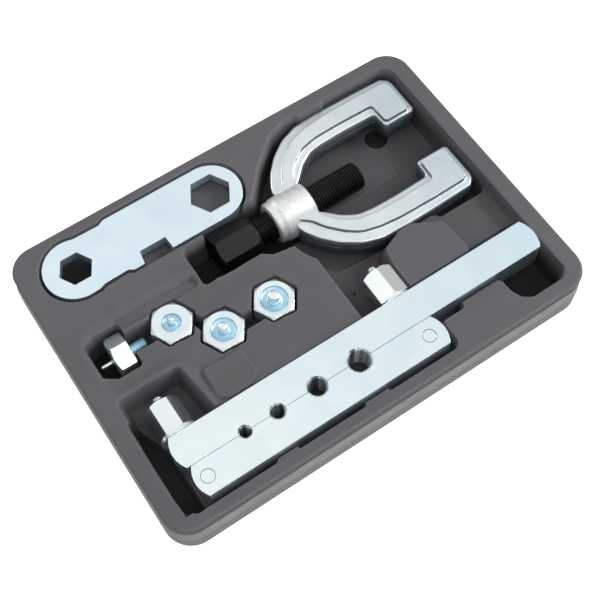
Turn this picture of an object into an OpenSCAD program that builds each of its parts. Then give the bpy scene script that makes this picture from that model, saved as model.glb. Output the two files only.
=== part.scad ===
// Double-flaring tool kit: die bars, yoke with forcing screw, four adapters
// and a ring wrench, stowed in one half of a moulded case. Units mm, +Z up.
// The case stands on z = 0, long side along X, centred on X and Y.

/* [Case] */
// Case length along X
case_l = 216; // [200:0.5:240]
// Case width along Y
case_w = 153; // [140:0.5:170]
// Height of the rim
case_h = 24; // [22:0.5:30]
// Plan radius of the case corners
case_r = 12.5; // [10:0.5:25]
// How far the lower half stands out for the lid
lid_step = 0.55; // [0:0.05:2]
// Height of the lid step
lid_z = 15.5; // [8:0.1:16]
// Floor thickness under the deep pockets
floor_t = 3.2; // [2:0.1:3.3]

/* [Die bars] */
// Height of the underside of the bars
bar_z = 14.5; // [12:0.5:16]
// Bar thickness
bar_t = 14.5; // [12:0.5:16]
// Y of the split face between the bars
seam_y = -53.75; // [-56:0.05:-50]
// Width of the long bar
long_w = 15.5; // [14:0.1:18]
// Width of the short bar
short_w = 15; // [14:0.1:18]
// Long bar, left shoulder of the rounded end
long_x0 = -88.7; // [-90:0.1:-85]
// Long bar, right shoulder of the rounded end
long_x1 = 94.5; // [90:0.1:96]
// Short bar, left shoulder of the rounded end
short_x0 = -87; // [-89:0.1:-85]
// Short bar, right shoulder of the rounded end
short_x1 = 33.4; // [30:0.1:36]
// How far each end bulges past its shoulders
end_bulge = 2.4; // [1:0.1:4]
// Tube hole diameters, smallest to largest
tube_d = [4.75, 6, 8, 10]; // [4:0.05:12]
// X of the tube holes
tube_x = [-60.9, -44.8, -25.0, -3.6]; // [-80:0.1:20]
// Chamfer at the mouth of each tube hole
tube_c = 0.5; // [0.2:0.1:1.5]

/* [Studs and nuts] */
// X of the left stud
stud_x0 = -83.4; // [-84:0.1:-82]
// X of the right stud
stud_x1 = 27.8; // [26:0.1:29]
// Stud diameter
stud_d = 8; // [7:0.1:8]
// Diameter of the turned stud tip
tip_d = 4.8; // [4:0.1:6]
// Cross pin diameter
pin_d = 6; // [5:0.1:6.5]
// Nut size across flats
nut_af = 14.3; // [13:0.1:15]
// Nut length
nut_l = 15.4; // [12:0.1:18]
// Washer thickness
washer_t = 1.6; // [1:0.1:2]
// Washer diameter, left stud
washer_d0 = 17.4; // [16:0.1:18]
// Washer diameter, right stud
washer_d1 = 14.8; // [14:0.1:18]

/* [Yoke and screw] */
// Y of the screw axis
axis_y = 29.9; // [29:0.1:31]
// Height of the screw axis
axis_z = 14.5; // [14:0.1:15]
// Yoke thickness over the flat pads
yoke_t = 15; // [13:0.5:16]
// Thickness of the wider middle of the arms
web_t = 11.2; // [7:0.1:12]
// Hub diameter
hub_d = 22; // [20:0.5:23]
// Hub, start in X
hub_x0 = 5.6; // [4:0.1:7]
// Hub, end in X
hub_x1 = 26.5; // [25:0.1:28]
// Screw thread diameter
screw_d = 14; // [12:0.1:14]
// Screw head size across flats
head_af = 17.8; // [17:0.1:18]
// Screw head, left end
head_x0 = -24.5; // [-26:0.1:-22]
// Screw head, shoulder towards the thread
head_x1 = -3.6; // [-5:0.1:-3]
// End of the thread inside the yoke
screw_x1 = 54.6; // [50:0.1:58]

/* [Adapters] */
// Adapter size across flats
adapt_af = 18; // [17:0.1:18.5]
// Thickness of the adapter head
adapt_t = 8.5; // [7:0.1:10]
// Diameter of the adapter's threaded shank
shank_d = 6; // [5:0.1:6]
// Length of the threaded shank
shank_l = 8; // [6:0.1:8.5]
// How far the pilot pins stand out
pilot_l = 4; // [3:0.1:6]

/* [Wrench] */
// Plate thickness
plate_t = 5.2; // [4:0.1:6]
// Radius of both ends
plate_r = 15.2; // [14:0.1:16]
// Small hexagon across flats
hex_small = 14.4; // [14.3:0.05:15]
// Large hexagon across flats
hex_large = 18.1; // [18:0.05:19]

/* [Hidden] */

bar_top = bar_z + bar_t;
stud_z = bar_z + bar_t / 2;
long_y1 = seam_y + long_w;
short_y0 = seam_y - short_w;
pin_y = seam_y - short_w / 2;
nut_y0 = long_y1 + washer_t;
nut_y1 = nut_y0 + nut_l;
recess_z = case_h - 1.6;
plate_z = case_h - plate_t - 0.2;
wr_a = [-82, 55.3];
wr_b = [-11.4, 55.3];
yoke_z0 = axis_z - yoke_t / 2;
yoke_floor = yoke_z0 - 1.5;
adapt_z = 13.5;
adapt_pos = [[-59.7, 9.2], [-42.5, -6.4], [-16.0, -6.2]];
lay_z = 13.7;
lay_y = 10.9;
lay_x = -81;
zinc = "#c9d3d8";
case_grey = "#646367";
black_ox = "#1d1d1f";

function unit(v) = v / norm(v);
// the arc that rounds one corner of a polygon
function corner(a, b, c, r, n) =
    let (u = unit(a - b), w = unit(c - b),
         g = acos(max(-1, min(1, u * w))),
         t = min(r / tan(g / 2), 0.48 * min(norm(a - b), norm(c - b))),
         q = t * tan(g / 2),
         o = b + unit(u + w) * (q / sin(g / 2)),
         p0 = b + u * t, p1 = b + w * t,
         a0 = atan2(p0[1] - o[1], p0[0] - o[0]),
         a1 = atan2(p1[1] - o[1], p1[0] - o[0]),
         d0 = a1 - a0, d = d0 > 180 ? d0 - 360 : d0 < -180 ? d0 + 360 : d0)
    [for (k = [0 : n]) o + q * [cos(a0 + d * k / n), sin(a0 + d * k / n)]];
function soft(p, r, n = 4) =
    [for (i = [0 : len(p) - 1])
        each corner(p[(i + len(p) - 1) % len(p)], p[i], p[(i + 1) % len(p)], r, n)];

module prism(p, z0, z1) { translate([0, 0, z0]) linear_extrude(z1 - z0) polygon(p); }
module box2(x0, x1, y0, y1, z0, z1) { translate([x0, y0, z0]) cube([x1 - x0, y1 - y0, z1 - z0]); }
// rounded rectangle prism, true arcs at the corners
module slab(x0, x1, y0, y1, r, z0, z1) {
    box2(x0 + r, x1 - r, y0, y1, z0, z1);
    box2(x0, x1, y0 + r, y1 - r, z0, z1);
    for (x = [x0 + r, x1 - r], y = [y0 + r, y1 - r])
        translate([x, y, z0]) cylinder(h = z1 - z0, r = r, $fn = 64);
}
module hexagon(af, h) { cylinder(h = h, r = af / sqrt(3), $fn = 6); }
module along_y(x, z, y0) { translate([x, y0, z]) rotate([-90, 0, 0]) children(); }
module along_x(y, z, x0) { translate([x0, y, z]) rotate([0, 90, 0]) children(); }

// half-outline of one arm's flat pad, from the hub out to the hook, offset by e
function arm(e, s) = [
    [13, s * (8 + e / 2)], [17.2 - e, s * (13 + e / 2)], [21.2 - e, s * (19.6 + e / 2)],
    [27.4 - e, s * (26.4 + e / 2)], [35 - e / 2, s * (31.8 + 0.8 * e)],
    [44 - e / 3, s * (34.5 + e)], [55, s * (35 + e)], [74, s * (34.8 + e)],
    [91.6 + e / 2, s * (34.2 + e)], [94.2 + 0.8 * e, s * (32.8 + e / 2)],
    [94.9 + 0.8 * e, s * (30 + e / 2)], [94.8 + 0.8 * e, s * (14.9 - e / 2)],
    [93.4 + 0.8 * e, s * (13.7 - e / 2)], [81.2 - e / 3, s * (13.7 - e / 2)],
    [80.2 - e / 3, s * (14.9 - e / 2)],
    [79.8 - e / 3, s * (22.8 - e)], [78.6 - e / 3, s * (23.8 - e)], [60, s * (24.2 - e)],
    [47.5 + e / 3, s * (23.9 - e)], [39 + 0.6 * e, s * (22.4 - 0.8 * e)],
    [31.5 + e, s * (17.6 - e / 2)], [26.4 + e / 2, s * (11.4 - e / 2)], [24.5, s * 8]];
module arm_layer(e, z0, z1) {
    for (s = [1, -1])
        translate([0, axis_y, 0]) prism(s > 0 ? arm(e, s) : [for (i = [22 : -1 : 0]) arm(e, s)[i]], z0, z1);
}

module case_block() {
    slab(-case_l / 2 - lid_step, case_l / 2 + lid_step, -case_w / 2 - lid_step, case_w / 2 + lid_step,
         case_r + lid_step, 0, lid_z);
    slab(-case_l / 2, case_l / 2, -case_w / 2, case_w / 2, case_r, lid_z, case_h - 1.4);
    slab(-case_l / 2 + 0.9, case_l / 2 - 0.9, -case_w / 2 + 0.9, case_w / 2 - 0.9, case_r - 0.9,
         case_h - 1.4, case_h);
}
module wrench_shape(e, z0, z1) {
    for (c = [wr_a, wr_b])
        translate([c[0], c[1], z0]) cylinder(h = z1 - z0, r = plate_r + e, $fn = 72);
    prism(soft([[wr_a[0], wr_a[1] - plate_r - e], [-77.5, wr_a[1] - plate_r + 0.2 - e], [-74.5, 41.4 - e],
                [-62.6, 41.6 - e], [-60.4, wr_a[1] - plate_r - e], [wr_b[0], wr_b[1] - plate_r - e],
                [wr_b[0], wr_b[1] + plate_r + e], [-59.8, wr_a[1] + plate_r + e], [-62.8, 69.1 + e],
                [-75.1, 69.3 + e], [wr_a[0], wr_a[1] + plate_r + e]], 2.5), z0, z1);
}

module case_tray() {
    color(case_grey) difference() {
        case_block();
        // shallow field round the adapters, with a pad left standing by the long bar
        difference() {
            prism(soft([[-98, -7], [-98, 19], [-92, 24.6], [-46, 25.4], [-38, 21], [-34, 14], [8, 8], [14, 2],
                        [14, -38], [-62, -38], [-64, -12], [-67, -7]], 4), recess_z, case_h + 1);
            prism(soft([[-61.5, -17.4], [-40.2, -18.6], [-39.6, -32.6], [-47.6, -37.8], [-57, -37.6], [-62.8, -32.2]],
                       2), 0, case_h + 2);
        }
        // groove between the wrench and the adapters
        prism(soft([[-82, 18.2], [-82, 24], [-41, 23.8], [-39.6, 18]], 2), recess_z - 1.2, case_h + 1);
        // wrench
        difference() {
            wrench_shape(1.3, plate_z - 1.2, case_h + 1);
            box2(-73, -62, 46, 65, 0, plate_z);
            box2(-36, -25, 46, 65, 0, plate_z);
        }
        translate([wr_a[0], wr_a[1], floor_t + 2]) cylinder(h = case_h, r = 9.4, $fn = 48);
        // screw head, its run-back and the thread
        prism(soft([[-38, 36.6], [-38, 16.4], [-24, 15.2], [-9, 15.6], [-4.4, 12], [8, 10], [8, 41.2],
                    [-25.5, 41.2], [-25.5, 36.6]], 2), floor_t, case_h + 1);
        box2(2, 28, axis_y - 12, axis_y + 12, floor_t, 12);
        // yoke
        difference() {
            prism(soft([[3, 41.4], [3, 14], [5.5, 10.6], [9.6, 2], [18, -8], [36, -9.7], [70, -9.7], [72, -12.5],
                        [99.3, -12.5], [99.3, 69.5], [61, 69.5],
                        [59.5, 68.3], [46, 68.3], [44.5, 69.5], [38, 69.5], [29, 66.6], [15, 55]], 3),
                  yoke_floor, case_h + 1);
            // seats under the arms and a low step under the screw
            for (s = [1, -1], x = [34, 68])
                box2(x, x + 12, axis_y + s * 30 - 3, axis_y + s * 30 + 3, 0, yoke_z0);
            box2(30, 74.6, 19.6, 40.2, 0, yoke_floor + 0.7);
        }
        translate([77.5, 46.5, floor_t]) cylinder(h = 9, r = 5.5, $fn = 40);
        // right nut
        prism(soft([[11, 2], [11, -39.5], [36.2, -39.5], [36.6, -24], [38.3, -13.9], [48.6, -10], [50, -6],
                    [24, 4]], 2), 11, case_h + 1);
        translate([18.3, -19.8, 8]) cylinder(h = 4, r = 0.9, $fn = 24);
        // shelf between the yoke and the long bar
        prism(soft([[70.6, -40], [70.4, -32], [69.3, -16.8], [56, -9.6], [58, -6], [99.3, -6], [99.3, -40]], 3),
              17, case_h + 1);
        // die bars: seat, deep ends, finger recess
        box2(-99, 71, seam_y - 0.6, -35.9, bar_z, case_h + 1);
        box2(-99, 37.6, -69.1, seam_y, bar_z, case_h + 1);
        prism(soft([[-99.4, -11], [-99.4, -62], [-95, -70.4], [-80, -70.4], [-80, -34]], 3), 4.5, bar_z + 0.01);
        prism(soft([[-99.4, -30], [-99.4, -62], [-95, -70.4], [-56, -70.4], [-55, -68], [-60, -60]], 2),
              bar_z, case_h + 1);
        prism(soft([[-47, -60], [-45, -70.6], [-12, -70.6], [-9, -60]], 1), bar_z, case_h + 1);
        prism(soft([[-1, -60], [1, -70.6], [35.5, -70.6], [38, -68.4], [38.4, -57], [50, -57], [52, -50]], 1.5),
              bar_z, case_h + 1);
        prism(soft([[66, -50], [70, -33], [99.3, -33], [99.3, -66], [95.5, -69.8], [79, -69.8], [74.6, -67],
                    [72.6, -62], [72.4, -56]], 3), 6, case_h + 1);
        // left nut
        prism(soft([[-97.5, -10.5], [-68, -10.5], [-64.4, -36.5], [-64.4, -40], [-97.5, -40]], 3), 11, case_h + 1);
        // adapters standing on their shanks
        for (p = adapt_pos) translate([p[0], p[1], 0]) {
            translate([0, 0, adapt_z]) rotate(-4) hexagon(adapt_af + 1.8, case_h);
            translate([0, 0, 4.6]) cylinder(h = case_h, r = shank_d / 2 + 0.7, $fn = 32);
        }
        prism(soft([[-54, 8], [-50, -3], [-45, -1], [-50, 9]], 1), adapt_z - 2, case_h + 1);
        prism(soft([[-36, -5], [-36, -12], [-24, -12], [-24, -5]], 1), adapt_z - 2, case_h + 1);
        // adapter on its side
        prism(soft([[-97.6, 20], [-97.6, 3], [-92, -1], [-79.8, -1], [-79.8, 22.2], [-92, 22.2]], 1.5),
              floor_t, case_h + 1);
        prism(soft([[-82, 5.6], [-82, 16.2], [-66, 16.2], [-66, 5.6]], 1.5), 9, case_h + 1);
    }
}
module wrench() {
    color(zinc) difference() {
        wrench_shape(0, plate_z, plate_z + plate_t);
        translate([wr_a[0], wr_a[1], plate_z - 1]) hexagon(hex_small, plate_t + 2);
        translate([wr_b[0], wr_b[1], plate_z - 1]) hexagon(hex_large, plate_t + 2);
        prism([[-55.2, 39], [-53.7, 46.9], [-40.5, 46.9], [-40.1, 39]], plate_z - 1, plate_z + plate_t + 1);
    }
}

module yoke() {
    color(zinc) difference() {
        union() {
            arm_layer(0, yoke_z0, yoke_z0 + yoke_t);
            arm_layer(2.8, axis_z - web_t / 2, axis_z + web_t / 2);
            along_x(axis_y, axis_z, hub_x0) cylinder(h = 3.4, r = hub_d / 2 - 0.9, $fn = 72);
            along_x(axis_y, axis_z, hub_x0 + 3.4) cylinder(h = hub_x1 - hub_x0 - 3.4, r = hub_d / 2, $fn = 72);
        }
        along_x(axis_y, axis_z, 0) cylinder(h = 60, r = screw_d / 2 + 0.05, $fn = 72);
    }
}

module forcing_screw() {
    color(black_ox) difference() {
        union() {
            along_x(axis_y, axis_z, head_x1 - 3) cylinder(h = screw_x1 - head_x1 + 2, r = screw_d / 2, $fn = 72);
            along_x(axis_y, axis_z, screw_x1 - 1) cylinder(h = 1, r1 = screw_d / 2, r2 = screw_d / 2 - 1, $fn = 72);
            intersection() {
                along_x(axis_y, axis_z, head_x0) rotate(55) hexagon(head_af, head_x1 - head_x0);
                along_x(axis_y, axis_z, head_x0) rotate_extrude($fn = 72)
                    polygon([[0, 0], [9.3, 0], [10.5, 0.9], [10.5, head_x1 - head_x0 - 2.2],
                             [8.4, head_x1 - head_x0], [0, head_x1 - head_x0]]);
            }
        }
        // seat for the swivel and its ring
        along_x(axis_y, axis_z, screw_x1 - 11) cylinder(h = 12, r = 4.55, $fn = 48);
        along_x(axis_y, axis_z, screw_x1 - 3) cylinder(h = 1.1, r = 5.3, $fn = 48);
    }
}
module nose_swivel() {
    color(zinc) difference() {
        along_x(axis_y, axis_z, screw_x1 - 10.9) cylinder(h = 11.1, r = 4.5, $fn = 48);
        along_x(axis_y, axis_z, screw_x1 - 9) cylinder(h = 12, r = shank_d / 2 + 0.05, $fn = 48);
        along_x(axis_y, axis_z, screw_x1 - 2.95) difference() {
            cylinder(h = 1, r = 6, $fn = 48);
            translate([0, 0, -1]) cylinder(h = 3, r = 3.9, $fn = 48);
        }
    }
}
module snap_ring() {
    color(black_ox) along_x(axis_y, axis_z, screw_x1 - 2.95) difference() {
        cylinder(h = 1, r = 5.2, $fn = 48);
        translate([0, 0, -1]) cylinder(h = 3, r = 3.9, $fn = 48);
    }
}

// one die bar: a flat bar whose ends are shallow arcs in plan
module bar(x0, x1, y0, y1) {
    c = (y1 - y0) / 2;
    r = (c * c + end_bulge * end_bulge) / (2 * end_bulge);
    sweep = asin(c / r);
    steps = 14;
    right = [for (k = [0 : steps]) let (g = -sweep + 2 * sweep * k / steps)
        [x1 + end_bulge - r + r * cos(g), y0 + c + r * sin(g)]];
    left = [for (k = [0 : steps]) let (g = 180 - sweep + 2 * sweep * k / steps)
        [x0 - end_bulge + r + r * cos(g), y0 + c + r * sin(g)]];
    prism(concat(right, left), bar_z, bar_top);
}
module tube_holes() {
    for (i = [0 : 3]) translate([tube_x[i], seam_y, 0]) {
        translate([0, 0, bar_z - 1]) cylinder(h = bar_t + 2, d = tube_d[i], $fn = 48);
        translate([0, 0, bar_top - tube_c])
            cylinder(h = 2 * tube_c, r1 = tube_d[i] / 2, r2 = tube_d[i] / 2 + 2 * tube_c, $fn = 48);
    }
}
module die_bar_long() {
    color(zinc) difference() {
        bar(long_x0, long_x1, seam_y, long_y1);
        tube_holes();
        for (x = [stud_x0, stud_x1])
            along_y(x, stud_z, seam_y - 1) cylinder(h = long_w + 2, r = stud_d / 2 + 0.1, $fn = 48);
    }
}
module die_bar_short() {
    color(zinc) difference() {
        bar(short_x0, short_x1, short_y0, seam_y);
        tube_holes();
        for (x = [stud_x0, stud_x1]) {
            along_y(x, stud_z, short_y0 + 1.9) cylinder(h = short_w, r = stud_d / 2 + 0.05, $fn = 48);
            translate([x, pin_y, bar_z - 1]) cylinder(h = bar_t + 2, r = pin_d / 2 + 0.03, $fn = 48);
        }
    }
}
module stud(x) {
    color(zinc) difference() {
        union() {
            along_y(x, stud_z, short_y0 + 2) cylinder(h = nut_y1 - 0.4 - short_y0 - 2, d = stud_d, $fn = 48);
            along_y(x, stud_z, nut_y1 - 1) cylinder(h = 4.2, d = tip_d, $fn = 32);
        }
        translate([x, pin_y, bar_z - 1]) cylinder(h = bar_t + 2, r = pin_d / 2 + 0.03, $fn = 48);
    }
}
module stud_left() { stud(stud_x0); }
module stud_right() { stud(stud_x1); }
module cross_pin(x) { color(zinc) translate([x, pin_y, bar_z]) cylinder(h = bar_t, d = pin_d, $fn = 48); }
module stud_pin_left() { cross_pin(stud_x0); }
module stud_pin_right() { cross_pin(stud_x1); }
module washer(x, d) {
    color(zinc) along_y(x, stud_z, long_y1) difference() {
        cylinder(h = washer_t, d = d, $fn = 64);
        translate([0, 0, -1]) cylinder(h = washer_t + 2, r = stud_d / 2 + 0.1, $fn = 48);
    }
}
module washer_left() { washer(stud_x0, washer_d0); }
module washer_right() { washer(stud_x1, washer_d1); }
module clamp_nut(x, turn) {
    color(zinc) along_y(x, stud_z, nut_y0) difference() {
        intersection() {
            rotate(turn) hexagon(nut_af, nut_l);
            rotate_extrude($fn = 64)
                polygon([[0, 0], [7.9, 0], [8.4, 0.3], [8.4, nut_l - 1.3], [6.6, nut_l], [0, nut_l]]);
        }
        translate([0, 0, -1]) cylinder(h = nut_l + 2, r = stud_d / 2 + 0.05, $fn = 48);
    }
}
module clamp_nut_left() { clamp_nut(stud_x0, -7); }
module clamp_nut_right() { clamp_nut(stud_x1, 27); }

// adapter standing on z = 0 on the back of its head, face up
module adapter(cup_r, pilot_r, pin_l = pilot_l) {
    color(zinc) {
        difference() {
            intersection() {
                hexagon(adapt_af, adapt_t);
                rotate_extrude($fn = 72)
                    polygon([[0, 0], [10.2, 0], [10.6, 0.4], [10.6, adapt_t - 1.1], [8.7, adapt_t], [0, adapt_t]]);
            }
            translate([0, 0, adapt_t - 1.5]) rotate_extrude($fn = 72)
                polygon([[0, 0], [cup_r - 1.4, 0], [cup_r - 0.4, 0.6], [cup_r, 2], [0, 2]]);
        }
        translate([0, 0, adapt_t - 2]) cylinder(h = 2 + pin_l - 0.6, r = pilot_r, $fn = 40);
        translate([0, 0, adapt_t + pin_l - 0.6]) cylinder(h = 0.6, r1 = pilot_r, r2 = pilot_r - 0.5, $fn = 40);
        translate([0, 0, -shank_l]) cylinder(h = shank_l + 1, d = shank_d, $fn = 40);
    }
}
module adapter_4_75() {
    translate([lay_x, lay_y, lay_z]) rotate([0, -90, 0]) rotate(5) adapter(3.6, 1.25, pilot_l + 2);
}
module adapter_6() { translate([adapt_pos[0][0], adapt_pos[0][1], adapt_z]) rotate(-4) adapter(4.4, 1.9); }
module adapter_8() { translate([adapt_pos[1][0], adapt_pos[1][1], adapt_z]) rotate(-4) adapter(5.4, 2.6); }
module adapter_10() { translate([adapt_pos[2][0], adapt_pos[2][1], adapt_z]) rotate(-4) adapter(6.4, 3.4); }

case_tray();
wrench();
yoke();
forcing_screw();
nose_swivel();
snap_ring();
die_bar_long();
die_bar_short();
stud_left();
stud_right();
stud_pin_left();
stud_pin_right();
washer_left();
washer_right();
clamp_nut_left();
clamp_nut_right();
adapter_4_75();
adapter_6();
adapter_8();
adapter_10();
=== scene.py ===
"""Looks of the flaring tool kit: case tray, wrench, yoke, screw, die bars, nuts and adapters."""
import bpy
import bmesh
import math
import numpy as np
from mathutils import Vector, Matrix
from mathutils.geometry import tessellate_polygon


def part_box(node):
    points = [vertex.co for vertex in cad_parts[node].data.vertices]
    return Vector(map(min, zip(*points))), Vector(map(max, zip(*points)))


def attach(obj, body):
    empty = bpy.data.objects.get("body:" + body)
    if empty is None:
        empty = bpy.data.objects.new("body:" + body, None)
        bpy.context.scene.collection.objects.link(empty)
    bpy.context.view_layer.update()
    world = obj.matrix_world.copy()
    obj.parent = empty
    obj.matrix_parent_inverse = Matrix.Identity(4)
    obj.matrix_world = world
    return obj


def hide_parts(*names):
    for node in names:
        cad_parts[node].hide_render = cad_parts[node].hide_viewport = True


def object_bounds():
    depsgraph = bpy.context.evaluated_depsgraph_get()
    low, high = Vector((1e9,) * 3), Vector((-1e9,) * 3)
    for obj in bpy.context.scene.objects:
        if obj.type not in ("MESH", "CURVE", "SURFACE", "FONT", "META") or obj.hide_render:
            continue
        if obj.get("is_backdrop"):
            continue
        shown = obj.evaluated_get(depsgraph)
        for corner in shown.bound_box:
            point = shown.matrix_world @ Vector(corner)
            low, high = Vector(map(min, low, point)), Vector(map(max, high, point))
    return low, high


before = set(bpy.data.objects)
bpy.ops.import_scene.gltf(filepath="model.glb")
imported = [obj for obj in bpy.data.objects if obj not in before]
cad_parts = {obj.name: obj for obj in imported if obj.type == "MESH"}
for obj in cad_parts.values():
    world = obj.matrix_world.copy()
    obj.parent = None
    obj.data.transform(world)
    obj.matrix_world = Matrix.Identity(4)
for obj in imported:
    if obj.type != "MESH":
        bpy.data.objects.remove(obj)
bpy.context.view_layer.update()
MM = 0.001

# ---------------------------------------------------------------- places taken from the frame, in mm


def span(node):
    low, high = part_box(node)
    return np.array(low) / MM, np.array(high) / MM


CASE_HIGH = span("case_tray")[1]
RIM_Z = CASE_HIGH[2]
LID_STEP = 0.55  # how far the wall stands out below the lid step, and the step's height
LID_Z = 15.5
CASE_HALF = CASE_HIGH[:2] - LID_STEP
CASE_RADIUS = 12.5
YOKE_LOW, YOKE_HIGH = span("yoke")
AXIS_Y = (YOKE_LOW[1] + YOKE_HIGH[1]) / 2
AXIS_Z = (YOKE_LOW[2] + YOKE_HIGH[2]) / 2
BAR_LOW, BAR_HIGH = span("die_bar_long")
SEAM_Y = BAR_LOW[1]
BAR_Z, BAR_TOP = BAR_LOW[2], BAR_HIGH[2]
WRENCH_Z = span("wrench")[0][2]
SHANK = 8.0  # length of an adapter's threaded shank
ADAPTER_TURN = -4  # turn of the standing adapters' hexagons and seats, in degrees

# half holes along the bars' split face: x and radius, smallest to largest
TUBE_HOLES = ((-60.9, 2.375), (-44.8, 3.0), (-25.0, 4.0), (-3.6, 5.0))

# ---------------------------------------------------------------- materials


class Paint:
    """A node material: small helpers around one Principled shader."""

    def __init__(self, name):
        self.mat = bpy.data.materials.new(name)
        self.mat.use_nodes = True
        self.tree = self.mat.node_tree
        self.shader = self.tree.nodes["Principled BSDF"]
        self.place = self.node("ShaderNodeTexCoord").outputs["Object"]
        self.split = None

    def node(self, kind, **settings):
        made = self.tree.nodes.new(kind)
        for key, value in settings.items():
            if key in made.inputs:
                made.inputs[key].default_value = value
            else:
                setattr(made, key, value)
        return made

    def link(self, a, b):
        self.tree.links.new(a, b)

    def stretched(self, scale, turn=0.0):
        mapping = self.node("ShaderNodeMapping")
        mapping.inputs["Scale"].default_value = scale
        mapping.inputs["Rotation"].default_value = (0, 0, turn)
        self.link(self.place, mapping.inputs["Vector"])
        return mapping.outputs["Vector"]

    def noise(self, scale, detail=3.0, rough=0.55, vector=None):
        tex = self.node("ShaderNodeTexNoise", Scale=scale, Detail=detail, Roughness=rough)
        self.link(vector or self.place, tex.inputs["Vector"])
        return tex.outputs["Fac"]

    def ramp(self, value, stops):
        ramp = self.node("ShaderNodeValToRGB")
        bar = ramp.color_ramp
        while len(bar.elements) < len(stops):
            bar.elements.new(0.5)
        for element, (at, colour) in zip(bar.elements, stops):
            element.position = at
            element.color = (*colour, 1)
        self.link(value, ramp.inputs["Fac"])
        return ramp.outputs["Color"]

    def grey(self, value, low, high, from_low=0.3, from_high=0.7):
        """value, from from_low to from_high, as a number from low to high."""
        rng = self.node("ShaderNodeMapRange")
        rng.inputs["From Min"].default_value = from_low
        rng.inputs["From Max"].default_value = from_high
        rng.inputs["To Min"].default_value = low
        rng.inputs["To Max"].default_value = high
        self.link(value, rng.inputs["Value"])
        return rng.outputs["Result"]

    def mix(self, fac, a, b, blend="MIX"):
        mix = self.node("ShaderNodeMix", data_type="RGBA", blend_type=blend)
        if isinstance(fac, float):
            mix.inputs[0].default_value = fac
        else:
            self.link(fac, mix.inputs[0])
        for socket, value in ((mix.inputs[6], a), (mix.inputs[7], b)):
            if isinstance(value, tuple):
                socket.default_value = (*value, 1)
            else:
                self.link(value, socket)
        return mix.outputs[2]

    def times(self, a, b):
        return self.mix(1.0, a, b, "MULTIPLY")

    def coordinate(self, axis):
        if self.split is None:
            self.split = self.node("ShaderNodeSeparateXYZ")
            self.link(self.place, self.split.inputs[0])
        return self.split.outputs[axis]

    def along(self, axis, start, end):
        """0 to 1 between two places on an axis, in mm."""
        return self.grey(self.coordinate(axis), 0.0, 1.0, start * MM, end * MM)

    def calc(self, operation, *values):
        """A Math node on sockets and numbers."""
        made = self.node("ShaderNodeMath", operation=operation)
        for socket, value in zip(made.inputs, values):
            if isinstance(value, float):
                socket.default_value = value
            else:
                self.link(value, socket)
        return made.outputs[0]

    def set(self, **values):
        """Values for the shader's sockets, with _ for a space in a socket's name."""
        for key, value in values.items():
            socket = self.shader.inputs[key.replace("_", " ")]
            if isinstance(value, (int, float)):
                socket.default_value = value
            elif isinstance(value, tuple):
                socket.default_value = (*value, 1)
            else:
                self.link(value, socket)

    def bump(self, heights, edge=0.0):
        """heights: list of (value, strength, distance in mm).
        edge rounds sharp corners in shading, in mm."""
        normal = None
        if edge:
            bevel = self.node("ShaderNodeBevel", Radius=edge * MM, samples=6)
            normal = bevel.outputs["Normal"]
        for value, strength, distance in heights:
            bump = self.node("ShaderNodeBump", Strength=strength, Distance=distance * MM)
            self.link(value, bump.inputs["Height"])
            if normal is not None:
                self.link(normal, bump.inputs["Normal"])
            normal = bump.outputs["Normal"]
        self.link(normal, self.shader.inputs["Normal"])


def case_plastic():
    """Moulded grey polyethylene: fine grain and faint flow mottling, with painted shade that darkens the
    pockets with depth and the creases, and painted highlights on convex edges.
    """
    p = Paint("case_plastic")
    grain = p.noise(2600, 4, 0.6)
    mottle = p.noise(26, 4, 0.6)
    flow = p.noise(7, 3, 0.5, p.stretched((1, 2.6, 1), 0.5))
    base = p.ramp(mottle, [(0.25, (0.100, 0.0995, 0.106)), (0.75, (0.116, 0.115, 0.122))])
    tint = p.ramp(flow, [(0.35, (0.94, 0.94, 0.95)), (0.7, (1.05, 1.04, 1.05))])
    depth = p.along("Z", 4, 21.5)
    # painted shade: the colour darkens with depth below the rim, as the pockets fall into shade
    depth_shade = p.ramp(depth, [(0.0, (0.22, 0.22, 0.23)), (0.05, (0.40, 0.40, 0.41)),
                           (0.12, (0.76, 0.76, 0.77)), (0.42, (0.62, 0.62, 0.63)),
                           (0.6, (0.64, 0.64, 0.65)), (0.82, (0.86, 0.86, 0.86)),
                           (1.0, (0.98, 0.98, 0.98))])
    # the finger recess at the right end is the darkest: painted shadow, as that deep pocket lies in shade
    recess_shade = p.ramp(depth, [(0.0, (0.34, 0.34, 0.34)), (0.4, (0.42, 0.42, 0.42)), (0.75, (1, 1, 1))])
    recess = p.calc("MULTIPLY", p.along("X", 64, 72), p.along("Y", -31, -37))
    base = p.times(base, p.mix(recess, (1.0, 1.0, 1.0), recess_shade))
    base = p.times(base, tint)
    # painted shade in concave creases; convex edges lighter, a painted highlight along with real rubbing
    shape = p.node("ShaderNodeNewGeometry")
    crease_shade_edge_light = p.ramp(shape.outputs["Pointiness"], [(0.44, (0.72, 0.72, 0.72)), (0.495, (1, 1, 1)),
                                                (0.506, (1, 1, 1)), (0.56, (1.22, 1.21, 1.21))])
    base = p.times(p.times(base, crease_shade_edge_light), depth_shade)
    p.set(Base_Color=base, Roughness=p.grey(mottle, 0.66, 0.76), Specular_IOR_Level=0.12)
    p.bump([(grain, 0.25, 0.05), (mottle, 0.12, 0.5)])
    return p.mat


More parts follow.
